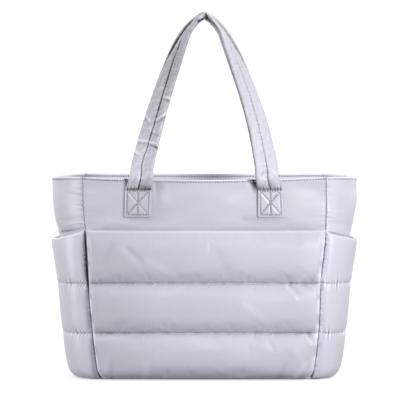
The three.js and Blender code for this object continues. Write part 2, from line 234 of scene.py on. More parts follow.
def steps_between(places, step, finest=0.0006):
    """Positions that run through every place, closer together near each."""
    parts = [graded(low, high, step, finest) for low, high in zip(places, places[1:])]
    return np.concatenate([parts[0], *[part[1:] for part in parts[1:]]])


def waves(seed, shortest, longest, count=14):
    """Smooth random relief of two directions, about -1 to 1, with no grid of its own."""
    chance = np.random.default_rng(seed)
    lengths = np.exp(chance.uniform(np.log(shortest), np.log(longest), count))
    angles = chance.uniform(0, math.pi, count)
    phases = chance.uniform(0, 2 * math.pi, count)
    sizes = (lengths / longest) ** 0.5
    sizes /= np.sqrt((sizes**2).sum() / 2)

    def read(a, b=0.0):
        total = 0
        for length, angle, phase, size in zip(lengths, angles, phases, sizes):
            way = a * math.cos(angle) + b * math.sin(angle)
            total = total + size * np.sin(2 * math.pi * way / length + phase)
        return total

    return read


def ripples(seed, shortest, longest, count=12):
    """Smooth random relief along one direction."""
    chance = np.random.default_rng(seed)
    lengths = chance.uniform(shortest, longest, count)
    phases = chance.uniform(0, 2 * math.pi, count)
    return lambda a: sum(
        np.sin(2 * math.pi * a / length + phase) for length, phase in zip(lengths, phases)
    ) / math.sqrt(count / 2)


def outward(grid, ring=False):
    """Unit normals of a grid whose rows go up and whose columns run anticlockwise from above."""
    if ring:
        grid = np.concatenate([grid[:, -2:-1], grid, grid[:, 1:2]], axis=1)
    normal = np.cross(np.gradient(grid, axis=1), np.gradient(grid, axis=0))
    if ring:
        normal = normal[:, 1:-1]
    return normal / np.maximum(np.linalg.norm(normal, axis=2, keepdims=True), 1e-12)


def run(grid, axis):
    """Length walked along a grid's rows or columns."""
    parts = np.linalg.norm(np.diff(grid, axis=axis), axis=2)
    start = np.zeros_like(np.take(parts, [0], axis=axis))
    return np.concatenate([start, np.cumsum(parts, axis=axis)], axis=axis)


def from_edge(grid, ring=False):
    """Distance of each point from the grid's nearest edge."""
    up, across = run(grid, 0), run(grid, 1)
    near = np.minimum(up, up[-1:] - up)
    if ring:
        return near
    return np.minimum(near, np.minimum(across, across[:, -1:] - across))


def rounded(distance, radius):
    """Quarter round from 0 at an edge to 1 at the radius."""
    left = 1 - np.clip(distance / radius, 0, 1)
    return np.sqrt(1 - left**2)


def drifted(points):
    """Points with the front seams moved along the bag by SEAM_DRIFT."""
    points = np.array(points)
    x, y, height = points.T
    left, right = np.moveaxis(table_curve(SEAM_DRIFT)(height), -1, 0)
    seam = section(np.clip(height, 0, RIM_HEIGHT))[0]
    near = near_line(np.abs(x) - seam, 0.03) * ramp(-y, 0, 0.03)
    points[:, 0] += np.where(x < 0, left, right) * near
    return points


def new_piece(name, points, faces):
    """A piece of the bag from points about the middle of its body."""
    mesh = bpy.data.meshes.new(name)
    mesh.from_pydata(drifted(points) + (0, MIDDLE_Y, 0), [], faces)
    mesh.polygons.foreach_set("use_smooth", np.ones(len(mesh.polygons), bool))
    piece = bpy.data.objects.new(name, mesh)
    bpy.context.scene.collection.objects.link(piece)
    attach(piece, "root")
    return piece


def quads(at):
    """The four points of every cell of a grid of numbers, anticlockwise."""
    corners = [at[:-1, :-1], at[:-1, 1:], at[1:, 1:], at[1:, :-1]]
    return np.stack(corners, axis=-1).reshape(-1, 4)


def closed_skin(outer, inner):
    """Points and faces of a closed skin from its outer and inner side, two grids that share
    their edge, and which grid point each of its points is."""
    rows, columns = outer.shape[:2]
    ring = np.allclose(outer[:, 0], outer[:, -1], atol=1e-7)
    front = np.arange(rows * columns).reshape(rows, columns)
    back = front + rows * columns
    for side in (0, -1):
        back[side] = front[side]
        if not ring:
            back[:, side] = front[:, side]
    if ring:
        front[:, -1], back[:, -1] = front[:, 0], back[:, 0]
    faces = np.concatenate([quads(front), quads(back)[:, ::-1]])
    used, faces = np.unique(faces, return_inverse=True)
    points = np.concatenate([outer.reshape(-1, 3), inner.reshape(-1, 3)])[used]
    return points, faces.reshape(-1, 4).tolist(), used


def add_shade(mesh, values):
    # The attribute "sewn" holds painted shade above 0 and painted light below 0, which the material
    # multiplies into the colour
    shade = mesh.attributes.new("sewn", "FLOAT", "POINT")
    shade.data.foreach_set("value", np.asarray(values, np.float32))


def closed_cloth(name, outer, inner, sewn, painted_shade_inside=None):
    """A closed piece of cloth. sewn is painted shade above 0, as in seams, creases and gaps, and
    painted light below 0. It is the same on the inner side unless that has its own."""
    points, faces, used = closed_skin(outer, inner)
    piece = new_piece(name, points, faces)
    shape = outer.shape[:2]
    metres = np.stack([run(outer, 1), run(outer, 0)], axis=2).reshape(-1, 2)
    corners = metres[quads(np.arange(len(metres)).reshape(shape))]
    corners = np.concatenate([corners, corners[:, ::-1]])
    layer = piece.data.uv_layers.new(name="metres")
    layer.data.foreach_set("uv", corners.reshape(-1).astype(np.float32))
    sides = [sewn, sewn if painted_shade_inside is None else painted_shade_inside]
    shades = np.concatenate([np.broadcast_to(side, shape).reshape(-1) for side in sides])
    add_shade(piece.data, shades[used])
    return piece


# The body's surfaces, as grids of points about the middle of the bag


section_shares = table_curve(SECTIONS)


def section(height):
    """Half length, gusset reach, half depth, bow and gusset power at heights."""
    shares = np.moveaxis(section_shares(np.asarray(height) / RIM_HEIGHT), -1, 0)
    seam, reach, depth, bow, roundness = shares
    return (
        seam * FRONT_LENGTH / 2,
        reach * GUSSET_REACH,
        depth * GUSSET_DEPTH / 2,
        bow * PANEL_BOW,
        2 / roundness,
    )


def face_depth(x, height):
    seam, _, depth, bow, _ = section(height)
    return depth + bow * (1 - (x / seam) ** 2)


def face_surface(side, share, height, dip, in_front=0.0):
    """The front or back face at shares from -1 to 1 of its half length, anticlockwise."""
    share, height = np.broadcast_arrays(share, height)
    x = -side * share * section(height)[0]
    drop = dip * (1 - share**2) * (height / RIM_HEIGHT) ** 2
    y = side * (face_depth(x, height) + in_front)
    return np.stack([x, y, height - drop + rim_lift(side, height)], axis=-1)


def rim_lift(side, height):
    """How far a seam's rim is lifted, with what is under it down to the side pockets."""
    above = ramp(height, SIDE_POCKET_HEIGHT, RIM_HEIGHT - SIDE_POCKET_HEIGHT)
    return np.where(side < 0, FRONT_RIM_LIFT, BACK_RIM_LIFT) * above**2


def gusset_surface(turned, angle, height):
    """One end of the bag at angles from -90 to 90 degrees round it."""
    angle, height = np.broadcast_arrays(angle, height)
    seam, reach, depth, _, power = section(height)
    x = seam + reach * np.abs(np.cos(angle)) ** power
    y = depth * np.sign(angle) * np.abs(np.sin(angle)) ** power
    sign = -1 if turned else 1
    lift = rim_lift(sign * angle, height) * np.abs(np.sin(angle)) ** 1.5
    return np.stack([sign * x, sign * y, height + lift], axis=-1)


def gusset_angles(height, step):
    """Angles that space the gusset's columns evenly, closer at its two seams."""
    fine = np.linspace(-math.pi / 2, math.pi / 2, 721)
    line = gusset_surface(False, fine[None, :], np.full((1, 1), height))
    walked = run(line, 1)[0]
    return np.interp(graded(0, walked[-1], step), walked, fine)


def walled(name, surface, thickness, relief=0.0, sewn=0.0):
    """Cloth of one thickness under a surface, with rounded edges."""
    ring = np.allclose(surface[:, 0], surface[:, -1], atol=1e-7)
    normal = outward(surface, ring)
    half = thickness / 2
    puffed = half * rounded(from_edge(surface, ring), half)[..., None]
    middle = surface + normal * (np.asarray(relief)[..., None] - half)
    return closed_cloth(name, middle + normal * puffed, middle - normal * puffed, sewn)


def near_line(distance, reach):
    return np.exp(-((distance / reach) ** 2))


# Cloth simulation

NYLON_CLOTH = {
    "quality": 4,
    "mass": 0.12,
    "tension_stiffness": 25,
    "compression_stiffness": 25,
    "shear_stiffness": 12,
    "tension_damping": 8,
    "compression_damping": 8,
    "air_damping": 2,
    "uniform_pressure_force": 3,
}
SWELLING_FRAMES = 16


def swollen(outer, inner, fixed, axis, surplus, cap, bending):
    """The outer side of a stuffed piece, swollen between its fixed points. surplus is how much
    wider its cloth is cut than the space it covers, and cap how far a point may go. Every
    second row or column is simulated, and the others follow on smooth curves."""
    every, second = slice(None), slice(None, None, 2)
    some = (second, every) if axis == 0 else (every, second)
    start = outer[some]
    points, faces, _ = closed_skin(start, inner[some])
    mesh = bpy.data.meshes.new("stuffing")
    mesh.from_pydata(points, [], faces)
    piece = bpy.data.objects.new("stuffing", mesh)
    bpy.context.scene.collection.objects.link(piece)
    held = np.ones(len(points), bool)
    held[: fixed[some].size] = fixed[some].reshape(-1)
    group = piece.vertex_groups.new(name="held")
    group.add([int(index) for index in np.flatnonzero(held)], 1, "REPLACE")
    cloth = piece.modifiers.new("cloth", "CLOTH")
    settings = cloth.settings
    for key, value in NYLON_CLOTH.items():
        setattr(settings, key, value)
    settings.vertex_group_mass = "held"
    settings.bending_stiffness = bending
    settings.use_pressure = True
    settings.shrink_min = -surplus
    settings.effector_weights.gravity = 0
    cloth.collision_settings.use_collision = False
    cloth.point_cache.frame_end = SWELLING_FRAMES
    for number in range(1, SWELLING_FRAMES + 1):
        bpy.context.scene.frame_set(number)
    shaped = piece.evaluated_get(bpy.context.evaluated_depsgraph_get()).data
    after = np.empty(len(points) * 3)
    shaped.vertices.foreach_get("co", after)
    move = after[: start.size].reshape(start.shape) - start
    length = np.linalg.norm(move, axis=2, keepdims=True)
    move *= cap * np.tanh(length / cap) / np.maximum(length, 1e-9)
    bpy.data.objects.remove(piece)
    bpy.data.meshes.remove(mesh)
    bpy.context.scene.frame_set(1)
    known = np.arange(0, outer.shape[axis], 2)
    lines = np.moveaxis(move, axis, 0)
    curve = table_curve(np.column_stack([known, lines.reshape(len(known), -1)]))
    filled = curve(np.arange(known[-1] + 1))
    return outer + np.moveaxis(filled.reshape(-1, *lines.shape[1:]), 0, axis)


# Quilted pieces


def channel_profile(share):
    """How full a channel is between its two seams, fullest a little under its middle."""
    crest = 0.45
    side = np.where(share < crest, crest, 1 - crest)
    return (1 - np.abs((share - crest) / side) ** 4.5) ** 0.55


def channels(height, foot, mouth):
    """For heights, the channel counted from the foot, how far up it they are, and the distance
    to the nearest sewn line."""
    seams = np.array(CHANNEL_SEAMS) * POCKET_HEIGHT
    seams[0], seams[-1] = foot, mouth
    which = np.clip(np.searchsorted(seams, height, side="right") - 1, 0, len(seams) - 2)
    share = ramp(height, seams[which], seams[which + 1] - seams[which])
    return which, share, np.abs(height[..., None] - seams[1:-1]).min(axis=-1)


def seam_puckers(along, distance, seed, depth, reach=0.004):
    """Short gathers that start at a sewn line and die out away from it, in some places more
    than in others."""
    uneven, patchy = ripples(seed, 0.01, 0.05), ripples(seed + 1, 0.015, 0.06)
    fine = np.sin(2 * math.pi * along / 0.0047 + 1.2 * uneven(along))
    close = np.exp(-distance / reach) * (1 - np.exp(-distance / 0.0006))
    return depth * close * fine * (1 + 0.5 * np.clip(patchy(along), -1, 1))


def seam_shade(along, distance, seed, reach):
    """Painted shade along a sewn line, standing for the shade in its groove, in some places less
    than in others.
    """
    patchy = 0.65 + 0.35 * np.clip(ripples(seed, 0.004, 0.04)(along), -1, 1)
    dashes = 0.75 + 0.35 * np.sin(2 * math.pi * along / 0.0042)
    return near_line(distance, reach) * patchy * dashes


def beside(across, up, x0, z0, x1, z1):
    """How far along a line the nearest point of it is, and the distance to that."""
    reach = (x1 - x0) ** 2 + (z1 - z0) ** 2
    share = np.clip(((across - x0) * (x1 - x0) + (up - z0) * (z1 - z0)) / reach, 0, 1)
    return share, np.hypot(across - x0 - share * (x1 - x0), up - z0 - share * (z1 - z0))


def folds(grid, rows):
    """Single folds, or strokes of painted shade. Each row has x, z and x, z of its ends on the
    front and its width, in millimetres, and then its height, below 0 for a crease, or its painted
    shade, below 0 for painted light."""
    total = 0
    for *ends, width, size in rows:
        share, away = beside(grid[..., 0], grid[..., 2], *(value * MM for value in ends))
        total = total + size * (1 - 0.6 * share) * near_line(away, width * MM)
    return total


def quilted(name, inner, outer, distance, seed, gathers, relief_shade=RELIEF_SHADE, marks=(), shade=0.0):
    """A padded piece between two grids, swollen between its sewn lines."""
    edge = from_edge(inner)
    middle = (inner + outer) / 2
    share = rounded(edge, POCKET_WALL / 2)[..., None]
    outer, inner = middle + (outer - middle) * share, middle + (inner - middle) * share
    fixed = (distance < 0.0003) | (edge < EDGE_WIDTH)
    outer = swollen(outer, inner, fixed, 1, surplus=0.003, cap=0.0035, bending=1.5)
    along, up = run(outer, 1), run(outer, 0)
    past_row = along + 0.37 * np.round(3 * up / up[-1:])
    relief = seam_puckers(past_row, distance, seed, gathers)
    sides = np.minimum(along, along[:, -1:] - along)
    relief += seam_puckers(up, sides, seed + 5, gathers, 0.003)
    relief = (relief + MM * folds(outer, marks)) * np.minimum(edge / EDGE_WIDTH, 1)
    outer = outer + outward(outer) * relief[..., None]
    # Painted light on the ridges and painted shade in the valleys of the relief, painted shade
    # along the edge and along the sewn lines
    shade = shade - relief_shade * relief + 0.15 * near_line(edge, 0.0006)
    shade = shade + seam_shade(past_row, distance, seed + 7, 0.0013)
    return closed_cloth(name, outer, inner, shade)


# Folds of the front pocket
POCKET_FOLDS = [
    (-114, 181, -91, 159, 5, 0.8),
    (-106, 184, -82, 163, 4.5, -0.8),
    (-79, 166, -44, 146, 6, 0.6),
    (-150, 57, -120, 61, 3.5, 0.8),
    (-128, 190, -137, 168, 6, -0.6),
    (20, 178, 35, 150, 6, -0.5),
    (-62, 120, -30, 128, 5, 0.5),
    (55, 105, 90, 82, 6, 0.6),
    (128, 40, 142, 12, 5, 0.4),
    (-20, 58, 15, 45, 6, 0.5),
    (114, 134, 128, 116, 3, 0.9),
    (120, 134, 135, 120, 2.2, -0.8),
    (132, 139, 146, 150, 3, 0.8),
    (140, 134, 156, 124, 2.6, -0.8),
    (150, 139, 158, 152, 2.4, -0.7),
    (146, 64, 158, 52, 2, -1.2),
    (150, 66, 160, 60, 1.8, 1),
    (138, 66, 150, 50, 2.6, 0.8),
    (152, 70, 160, 82, 2.4, -0.7),
    (-145, 3, -138, 30, 3.5, 0.8),
    (-133, 3, -130, 26, 3, -0.8),
    (-85, 3, -80, 24, 4.5, 0.8),
    (125, 3, 139, 20, 3.5, 1.1),
    (105, 3, 112, 22, 4, -0.7),
]


def channel_rows(foot, mouth):
    """Heights of a quilted piece's rows, closer together at its foot, seams and mouth."""
    seams = [share * POCKET_HEIGHT for share in CHANNEL_SEAMS[1:-1]]
    return steps_between([foot, *seams, mouth], QUILT_STEP)[:, None]


def face_shares(step):
    """Shares from -1 to 1 of the half length of the front or back, closer together at both."""
    widest = FRONT_LENGTH / 2
    return steps_between([-widest, widest], step)[None, :] / widest


def front_pocket():
    mouth = POCKET_HEIGHT + MOUTH_RISE
    height = channel_rows(POCKET_LIFT, mouth)
    share = face_shares(QUILT_STEP / 2)
    _, up_channel, distance = channels(height, POCKET_LIFT, mouth)
    foot = POCKET_CORNER * (1 - rounded(height - POCKET_LIFT, POCKET_CORNER))
    opened = ramp(height, LEFT_SEAM_CLOSES, SEAM_OPENING) * (share < 0)
    edge = section(height)[0] - CLOSED_INSET - (OPEN_INSET - CLOSED_INSET) * opened - foot
    x, height = np.broadcast_arrays(share * edge, height)
    from_side = rounded(edge - np.abs(x), EDGE_ROLL)
    space = GAP + FRONT_POCKET_SPACE * from_side * rounded(height, POCKET_CORNER)
    padding = POCKET_WALL + FRONT_PUFF * channel_profile(up_channel) * from_side
    depth = face_depth(x, height) + space
    inner = np.stack([x, -depth, height], axis=-1)
    outer = np.stack([x, -depth - padding, height], axis=-1)
    distance = np.broadcast_to(distance, x.shape)

    left = x < 0
    # Painted highlights along the rolled side edges and along the mouth; the lower part of each
    # channel painted lighter; the two ends a little darker; the walls of the shut seams painted
    # lighter; a painted shadow along the foot
    patchy = np.clip(ripples(15, 0.01, 0.05)(height) * 0.5 + 0.7, 0, 1)
    roll = near_line(edge - np.abs(x) - 0.0018, np.where(left, 0.0013, 0.0030)) * patchy
    shade = (
        np.where(left, -1.87, -1.36) * roll
        - 0.6 * near_line(mouth - height - 0.001, 0.0012)
        - 0.22 * ramp(-up_channel, -0.3, 0.3)
        + 0.15 * ramp(np.abs(x), 0.06, 0.06)
        - 0.7 * near_line(edge - np.abs(x), 0.0012) * (1 - opened)
        + FOOT_SHADE * near_line(height - POCKET_LIFT, FOOT_REACH)
    )
    details = (11, QUILT_GATHERS, FRONT_RELIEF_SHADE, POCKET_FOLDS, shade)
    return quilted("front_pocket_cloth", inner, outer, distance, *details)


def quilted_back():
    foot = BASE_THICKNESS + GAP
    height = channel_rows(foot, POCKET_HEIGHT)
    share = face_shares(QUILT_STEP / 2)
    _, up_channel, distance = channels(height, foot, POCKET_HEIGHT)
    surface = face_surface(BACK, share, height, BACK_RIM_DIP)
    from_side = rounded((1 - np.abs(share)) * section(height)[0], EDGE_ROLL)
    puff = BACK_PUFF * channel_profile(up_channel) * from_side
    inner = surface - outward(surface) * POCKET_WALL
    outer = surface + np.stack([0 * puff, puff, 0 * puff], axis=-1)
    distance = np.broadcast_to(distance, puff.shape)
    return quilted("back_quilted_cloth", inner, outer, distance, 31, QUILT_GATHERS)


def droop_at(channel):
    """Sag of a row at the side corner: none at the foot, most at the mouth."""
    last = len(CHANNEL_SEAMS) - 2
    crease = SIDE_CREASE_DROOP * ramp(channel, 0, 1)
    return crease + (SIDE_MOUTH_DROOP - SIDE_CREASE_DROOP) * ramp(channel, last, 1)


def side_pocket(turned):
    height = channel_rows(POCKET_LIFT, SIDE_POCKET_HEIGHT)
    number, up_channel, distance = channels(height, POCKET_LIFT, SIDE_POCKET_HEIGHT)
    channel = number + up_channel
    angle = gusset_angles(POCKET_HEIGHT / 2, QUILT_STEP / 2)[None, :]
    share = angle / (math.pi / 2)
    sag = np.cos(angle) ** 0.75
    level = height - sag * droop_at(channel)
    mouthward = ramp(channel, len(CHANNEL_SEAMS) - 2, 1)
    level = level - (0 if turned else RIGHT_MOUTH_DROP) * mouthward * (1 - sag)
    from_seam = np.sqrt(1 - np.clip(np.abs(share), 0, 1) ** 4)
    room = SIDE_POCKET_SPACE * (1 - SIDE_MOUTH_PINCH * mouthward)
    space = GAP + room * from_seam * rounded(level, POCKET_CORNER)
    fullness = 0.3 + 0.8 * np.abs(share) * (1 - np.abs(share))
    padding = POCKET_WALL + SIDE_PUFF * channel_profile(up_channel) * fullness * from_seam
    surface = gusset_surface(turned, angle, level)
    flat = outward(surface) * (1, 1, 0)
    flat /= np.linalg.norm(flat, axis=2, keepdims=True)
    inner = surface + flat * space[..., None]
    outer = inner + flat * padding[..., None]
    distance = np.broadcast_to(distance, level.shape)

    away = run(surface, 1)
    away = away[:, -1:] - away if turned else away
    from_mouth = near_line(SIDE_POCKET_HEIGHT - height - 0.001, 0.0014)
    middle = near_line(share, 0.3)
    # Painted shadow along the foot; on the left, a painted dark gap where the seam gapes and
    # painted light where it is shut; on both, painted light over the whole cloth, its middle and
    # its mouth
    shade = FOOT_SHADE * near_line(height - POCKET_LIFT, FOOT_REACH)
    if turned:
        name, seed = "left_side_pocket_cloth", 41
        opened = ramp(height, LEFT_SEAM_CLOSES, SEAM_OPENING)
        shade = shade + 3.6 * near_line(away, 0.0013) * opened
        shade = shade - 1.3 * near_line(away, 0.002) * (1 - opened)
        shade = shade - 0.3 - 0.7 * middle - 1.1 * from_mouth
    else:
        name, seed = "right_side_pocket_cloth", 51
        opened = ramp(height, RIGHT_SEAM_CLOSES, SEAM_OPENING)
        shade = shade - 1.3 * near_line(away, 0.0022) * (1 - 0.8 * opened)
        shade = shade - 0.12 - 0.5 * middle - 0.3 * from_mouth
    return quilted(name, inner, outer, distance, seed, SIDE_GATHERS, SIDE_RELIEF_SHADE, shade=shade)


# Plain walls of the body


def mouth_hollow(height):
    """How far a wall sinks in behind the mouth of a pocket, full at the mouth and 0 above."""
    return -((1 - ramp(height, POCKET_HEIGHT, HOLLOW_HEIGHT)) ** 2)


def wall_detail(wave, height, up, seam_distance, seed):
    """Relief of a plain wall, its gathers along its seams, painted shade along its seams and a
    painted highlight along its rim.
    """
    free = rounded(seam_distance, 0.02) * rounded(RIM_HEIGHT - height, 0.02)
    groove = near_line(height - (RIM_HEIGHT - STITCH_DROP), 0.0009)
    uneven = ripples(seed + 2, 0.004, 0.011)(up)
    gathers = WALL_GATHERS * np.exp(-seam_distance / GATHERS_REACH) * uneven
    rim = near_line(RIM_HEIGHT - height - 0.001, 0.0018)
    shade = 1.6 * seam_shade(up, seam_distance, seed + 3, 0.0009) - 0.8 * rim
    return WALL_SLACK * wave * free - 0.0002 * groove, gathers, shade


def body_face(name, side, foot, dip, seed, sunk=0.0, marks=(), shaded=()):
    """Front or back face above a height, slack between its seams."""
    height = steps_between([foot, RIM_HEIGHT - STITCH_DROP, RIM_HEIGHT], 0.0024)[:, None]
    share = face_shares(0.0024)
    surface = face_surface(side, share, height, dip)
    across, up = surface[..., 0], surface[..., 2]
    seam_distance = (1 - np.abs(share)) * section(height)[0]
    wave = waves(seed, 0.05, 0.2)(across, 2 * up)
    relief, gathers, shade = wall_detail(wave, height, up, seam_distance, seed)
    marks = MM * folds(surface, marks)
    relief = relief + gathers + marks + sunk * mouth_hollow(height) * rounded(seam_distance, 0.05)
    # Painted shade on the right part of the front panel, the painted shadows of shaded, and painted
    # light on ridges and painted shade in valleys of the marks
    if side == FRONT:
        shade = shade + 0.3 * ramp(across, 0.04, 0.08)
    return walled(name, surface, WALL, relief, shade - RELIEF_SHADE * marks + folds(surface, shaded))


# Folds of the front panel round its patches and above the pocket
PANEL_FOLDS = [
    (-67.4, 270.9, -64.5, 244.8, 3, -0.8),
    (-56.5, 273, -52.3, 241, 5, 0.6),
    (-163, 218, -150, 217.5, 2.5, -0.7),
    (-143, 211.6, -133, 209.8, 1.5, -1.2),
    (-111, 218, -93, 217, 4, 0.6),
    (-73, 276, -70, 268, 1.4, 1.3),
    (-68, 275, -66, 264, 1.4, -0.9),
    (-62, 272, -55, 258, 4, -0.7),
    (-105, 225, -50, 222, 4.5, -0.8),
    (-135, 222, -100, 218, 3.5, 0.7),
    (55, 224, 115, 221, 5, -0.9),
    (35, 250, 60, 262, 6, 0.6),
    (-160, 262, -135, 266, 5, 0.6),
    (62, 279, 70, 262, 2.5, -1),
]


# Painted shadows on the front panel beside the handles, where the straps stand off it
PANEL_SHADE = [
    (70, 279, 72.2, 267, 3.6, 3),
    (62, 280.5, 70, 277.5, 1.8, 2.2),
    (-109, 280, -107.5, 269, 2, 3.2),
    (-113, 280.5, -108, 280.5, 1.2, 2.4),
    (-72, 277, -68, 269, 0.8, 1),
]


def gusset(turned):
    seed = 61 if turned else 71
    hollow, swell = (0.0014, 0.001) if turned else (0.0004, 0.002)
    height = steps_between([BASE_THICKNESS + GAP, RIM_HEIGHT - STITCH_DROP, RIM_HEIGHT], 0.002)
    height = height[:, None]
    angle = gusset_angles(RIM_HEIGHT * 0.85, 0.002)[None, :]
    surface = gusset_surface(turned, angle, height)
    across, up = run(surface, 1), surface[..., 2]
    seam_distance = np.minimum(across, across[:, -1:] - across)
    wave = waves(seed, 0.03, 0.1)(across, up)
    relief, gathers, shade = wall_detail(wave, height, up, seam_distance, seed)
    free = rounded(seam_distance, 0.03)
    swelling = swell * near_line(height - 0.252, 0.02)
    relief = relief + (hollow * mouth_hollow(height) + swelling) * free
    marks = MM * folds(surface, GUSSET_FOLDS)
    # Painted light on the middle of each end, painted shade of the creases over the pockets' mouths
    # on the front half, painted light on ridges and painted shade in valleys
    shade = shade - (0.7 if turned else 0.4) * near_line(angle, 0.45)
    shade = shade + folds(surface, GUSSET_SHADE) * ramp(-surface[..., 1], 0, 0.02)
    shade = shade - RELIEF_SHADE * (marks + (1 if turned else 0.4) * gathers)
    name = "left_gusset_cloth" if turned else "right_gusset_cloth"
    return walled(name, surface, WALL, relief + gathers + marks, shade)


# Folds of the two ends above their pockets
GUSSET_FOLDS = [
    (-172, 226, -205, 222, 2, -0.9),
    (-172, 221, -200, 214, 1.8, 0.8),
    (-172, 256, -196, 262, 2.2, -0.7),
    (172, 236, 200, 232, 3, 0.6),
    (172, 222, 204, 216, 2.5, -0.7),
]


# Painted shade of the creases and gaps of the two ends over the mouths of their pockets
GUSSET_SHADE = [
    (-203, 205.5, -170, 212.8, 1.2, 2.2),
    (172, 206.2, 206, 198.5, 1.2, 1.9),
]


def plan_loop(height, step):
    """The whole outline at heights, one closed ring that starts at the front left seam."""
    widest = FRONT_LENGTH / 2
    share = np.linspace(-1, 1, int(2 * widest / step))[None, :]
    angle = np.linspace(-math.pi / 2, math.pi / 2, int(0.14 / step))[None, :]
    return np.concatenate(
        [
            face_surface(FRONT, share, height, FRONT_RIM_DIP)[:, :-1],
            gusset_surface(False, angle, height)[:, :-1],
            face_surface(BACK, share, height, BACK_RIM_DIP)[:, :-1],
            gusset_surface(True, angle, height),
        ],
        axis=1,
    )


def rim_facing():
    """The band turned in behind the rim."""
    places = [RIM_HEIGHT - FACING_HEIGHT, RIM_HEIGHT - STITCH_DROP, RIM_HEIGHT]
    height = steps_between(places, 0.003)[:, None]
    surface = plan_loop(height, 0.004)
    surface[:, -1] = surface[:, 0]
    surface = surface - outward(surface, True) * (WALL + GAP)
    to_the_ends = ramp(np.abs(surface[..., 0]), 0.03, 0.04)
    # Painted shade along the stitches; the facing lighter all over, and painted lighter still
    # towards the two ends, leaving its middle darker as in shade
    shade = 0.4 * near_line(height - places[1], 0.0012) - 0.4 - 0.5 * to_the_ends
    return walled("rim_facing_cloth", surface, FACING_THICKNESS, 0.0, shade)


def base():
    """The bottom, one flat piece with a rounded edge."""
    outline = plan_loop(np.zeros((1, 1)), 0.004)[0]
    outline[-1] = outline[0]
    normal = outward(np.stack([outline, outline + (0, 0, 0.01)]), True)[0]
    half = BASE_THICKNESS / 2
    turns = np.radians(np.arange(-90, 91, 15))
    rim = [
        outline - normal * half * (1 - math.cos(turn)) + (0, 0, half + half * math.sin(turn))
        for turn in turns
    ]
    shares = np.linspace(0.85, 0.1, 6)
    low = [rim[0] * (share, share, 1) for share in shares[::-1]]
    high = [rim[-1] * (share, share, 1) for share in shares]
    grid = np.stack(low + rim + high)[:, :-1]
    rows, columns = grid.shape[:2]
    at = np.arange(rows * columns).reshape(rows, columns)
    at = np.concatenate([at, at[:, :1]], axis=1)
    caps = [at[0, :-1][::-1].tolist(), at[-1, :-1].tolist()]
    return new_piece("base_cloth", grid.reshape(-1, 3), quads(at).tolist() + caps)


# Handles


PATCH_ROWS = 2  # steps of a handle's line from its end to the head of its patch


def handle_line(side):
    """Centre, twist and sewn share of a handle's band, read by length from its left foot."""
    swing = math.sin(math.radians(HANDLE_STATIONS[0][2]))
    off_rim = GAP + HANDLE_THICKNESS / 2 + HANDLE_WIDTH / 2 * swing
    top = (HANDLE_WIDTH + HANDLE_PARTING) / 2
    half = []
    for drop in (PATCH_DROP + PATCH_HEIGHT, PATCH_DROP + PATCH_HEIGHT / 2, PATCH_DROP):
        y = face_depth(HANDLE_SPREAD / 2, RIM_HEIGHT - drop) + GAP + PATCH_THICKNESS / 2
        splay = HANDLE_STATIONS[0][3] * BACK_SPLAY if side == BACK else 0
        half.append((HANDLE_SPREAD / 2 + splay, side * y, RIM_HEIGHT - drop, 0, 1))
    foot = face_depth(HANDLE_SPREAD / 2, RIM_HEIGHT) + off_rim
    for rise, spread, twist, splay in HANDLE_STATIONS:
        splay = splay * BACK_SPLAY if side == BACK else 0
        at_top = rise == 1
        x = spread * HANDLE_SPREAD / 2 + (0 if at_top else splay)
        y = foot + (top - foot) * rise
        z = RIM_HEIGHT + rise * HANDLE_RISE + (splay if at_top else 0)
        half.append((x, side * y, z, twist, 0))
    left = [(-x, y, z, twist, sewn) for x, y, z, twist, sewn in half[:-1]]
    rows = np.array(left + half[::-1])
    walked = np.concatenate([[0], np.cumsum(np.linalg.norm(np.diff(rows[:, :3], axis=0), axis=1))])
    return table_curve(np.column_stack([walked, rows])), walked


def band_profile(share, sewn):
    """Half thickness across the band: two rolls with the sewn line between, flat where sewn."""
    reach = np.abs(share)
    lobe = np.sqrt(np.clip(1 - np.abs(2 * reach - 1) ** LOBE_POWER, 0, 1))
    seam, full = HANDLE_SEAM_THICKNESS / 2, HANDLE_THICKNESS / 2
    free = np.where(reach < 0.5, seam + (full - seam) * lobe, full * lobe)
    patch = PATCH_THICKNESS / 2 * rounded(1 - reach, 0.08)
    return free + (patch - free) * sewn


# rise | outward stray of the left and the right arm | stray of the left arm's seam, as a share
ARM_STRAY = [
    (-1.0, 0.0006, 0.0004, 0.0),
    (0.0, 0.0012, 0.0012, 0.0),
    (0.10, 0.0010, 0.0013, 0.0),
    (0.20, -0.0002, 0.0014, 0.10),
    (0.35, -0.0010, 0.0014, 0.22),
    (0.50, -0.0008, 0.0014, 0.26),
    (0.65, -0.0004, 0.0010, 0.22),
    (0.80, 0.0, 0.0005, 0.10),
    (1.00, 0.0, 0.0, 0.0),
]

# Painted shade of the front handle's fold at its top, and painted highlights beside its patches'
# slanting lines
HANDLE_SHADE = [
    (-8, 502.5, 0.5, 507.5, 1.6, 3.4),
    (1.2, 515, 5, 508, 1.6, 3),
    (3, 506, 13, 499.5, 1.7, 1.9),
    (13, 499.5, 22.5, 488, 0.9, 1.6),
    (-6, 508.5, 0, 513, 1.2, -1.4),
    (-108.2, 264.2, -77.8, 230.6, 0.9, -2.2),
    (77.3, 264.2, 107.9, 230.6, 0.9, -2.2),
]


def patch_lines():
    """Stitched lines of a patch as pairs of ends: share of the half width, and drop from the
    upper edge."""
    side = 1 - 2 * PATCH_BORDER / PATCH_FOOT_WIDTH
    low, top = PATCH_HEIGHT - PATCH_BORDER, 0.6 * PATCH_BORDER
    corners = [(-side, top), (side, top), (side, low), (-side, low)]
    lines = list(zip(corners, corners[1:] + corners[:1]))
    return lines + [(corners[0], corners[2]), (corners[1], corners[3]), ((0, top), (0, low))]


